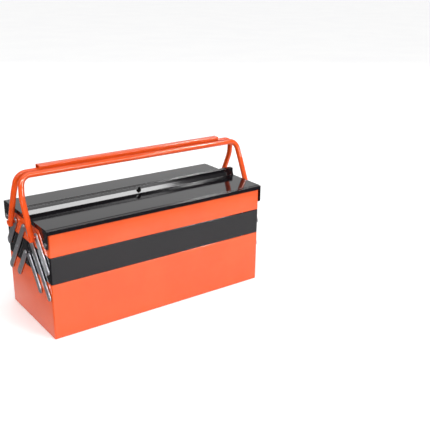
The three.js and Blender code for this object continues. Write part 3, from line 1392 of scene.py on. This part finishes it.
@dataclass
class Studio:
    """A pale floor, soft lights and the camera."""

    camera_at: Vector = field(default_factory=lambda: Vector((-0.6097, -1.068, 0.5968)))
    azimuth: float = -36.44
    elevation: float = 19.98
    roll: float = 0.86
    lens: float = 58.4
    sensor: float = 36.0
    aim: Vector = field(default_factory=lambda: Vector((0.0, 0.0, 0.12)))
    ceiling_strength: float = 2.0
    ceiling_elevation: float = 80.0
    ceiling_spread: float = 50.0
    room_strength: float = 0.42
    floor_size: float = 60.0
    floor_roughness: float = 0.6
    paper: tuple[tuple[float, ...], ...] = (
        (0.965, 0.965, 0.97, 1.0), (0.985, 0.985, 0.985, 1.0))
    # Where the floor's painted shadow lies and how dark it is; only reflections see it.
    flag_left: tuple[float, float] = (-0.30, -0.20)
    flag_front: tuple[float, float] = (-0.53, -0.46)
    flag_tone: float = 0.08

    def camera(self) -> None:
        """Sets up the camera."""
        data = bpy.data.cameras.new("camera")
        data.lens = self.lens
        data.sensor_width = self.sensor
        camera = set_up("camera", data)
        level = (-towards(self.azimuth, self.elevation)).to_track_quat("-Z", "Y")
        rolled = level @ Quaternion((0.0, 0.0, 1.0), math.radians(self.roll))
        camera.matrix_world = Matrix.Translation(self.camera_at) @ rolled.to_matrix().to_4x4()
        bpy.context.scene.camera = camera

    def ceiling(self) -> None:
        """Adds a broad, even light from far above."""
        data = bpy.data.lights.new("ceiling", "SUN")
        data.energy = self.ceiling_strength
        data.angle = math.radians(self.ceiling_spread)
        lamp = set_up("ceiling", data)
        lamp.rotation_euler = (math.radians(90.0 - self.ceiling_elevation), 0.0, 0.0)

    def floor(self) -> None:
        """Lays the floor."""
        piece = Workpiece.start("studio_floor", bpy.ops.mesh.primitive_plane_add,
                                size=self.floor_size)
        bpy.ops.mesh.subdivide(number_cuts=3)
        floor = piece.finish()
        paper = bpy.data.materials.new("floor paper")
        paper.use_nodes = True
        sheet = NodeSheet(paper.node_tree)
        shader = paper.node_tree.nodes["Principled BSDF"]
        where = sheet.add("ShaderNodeTexCoord").outputs["Object"]
        tone = sheet.spread(sheet.noise(where, 3.0, 2.0), 0.3, 0.7, 0.0, 1.0)
        ramp = sheet.add("ShaderNodeValToRGB", {"Fac": tone})
        for element, colour in zip(ramp.color_ramp.elements, self.paper):
            element.color = colour
        sheet.feed(ramp.outputs["Color"], shader.inputs["Base Color"])
        shader.inputs["Roughness"].default_value = self.floor_roughness
        self.flag(sheet, shader, where)
        floor.data.materials.append(paper)

    def flag(self, sheet: NodeSheet, shader: bpy.types.Node, where: Socket) -> None:
        """Darkens the floor's far front and left for reflections only: a painted shadow, where the
        real floor lay in shade.

        Args:
            sheet: The floor's node tree.
            shader: Its paper shader.
            where: The floor's coordinates.
        """
        apart = sheet.add("ShaderNodeSeparateXYZ", {"Vector": where})
        beside = sheet.spread(apart.outputs["X"], *self.flag_left, 1.0, 0.0)
        ahead = sheet.spread(apart.outputs["Y"], *self.flag_front, 1.0, 0.0)
        shadowed = sheet.reckon("MAXIMUM", beside, ahead)
        mirrored = sheet.add("ShaderNodeLightPath").outputs["Is Glossy Ray"]
        # Painted shadow: a dark diffuse floor that only glossy rays see, on the left and far
        # front.
        painted_shadow = sheet.add("ShaderNodeBsdfDiffuse", {"Color": (self.flag_tone,) * 3 + (1.0,)})
        amount = sheet.reckon("MULTIPLY", shadowed, mirrored)
        mixed = sheet.add("ShaderNodeMixShader", {
            "Fac": amount, 1: shader.outputs["BSDF"], 2: painted_shadow.outputs["BSDF"]})
        leaving = sheet.tree.nodes["Material Output"]
        sheet.feed(mixed.outputs["Shader"], leaving.inputs["Surface"])

    def surroundings(self) -> None:
        """Fills the room with even white light, which the camera sees at full strength."""
        world = bpy.data.worlds.new("white room")
        world.use_nodes = True
        sheet = NodeSheet(world.node_tree)
        sky = world.node_tree.nodes["Background"]
        sky.inputs["Color"].default_value = (1.0, 1.0, 1.0, 1.0)
        seen = sheet.add("ShaderNodeLightPath").outputs["Is Camera Ray"]
        strength = sheet.spread(seen, 0.0, 1.0, self.room_strength, 1.0)
        sheet.feed(strength, sky.inputs["Strength"])
        bpy.context.scene.world = world
        bpy.context.scene.view_settings.view_transform = "Standard"

    def build(self) -> None:
        """Sets the stage."""
        self.camera()
        self.floor()
        self.surroundings()
        for box in SOFT_BOXES:
            box.hang(self.aim)
        self.ceiling()


def main() -> None:
    """Builds the toolbox and its studio, and reports every piece."""
    logging.basicConfig(level=logging.INFO, format="%(name)s: %(message)s")
    Studio().build()
    finishes = Finishes()
    for assembly in (Trays(finishes), Lids(finishes), Handles(finishes), Links(finishes),
                     Rivets(finishes)):
        assembly.build()
        log.info("%s: %d pieces", type(assembly).__name__, len(assembly.made))


if __name__ == "__main__":
    main()
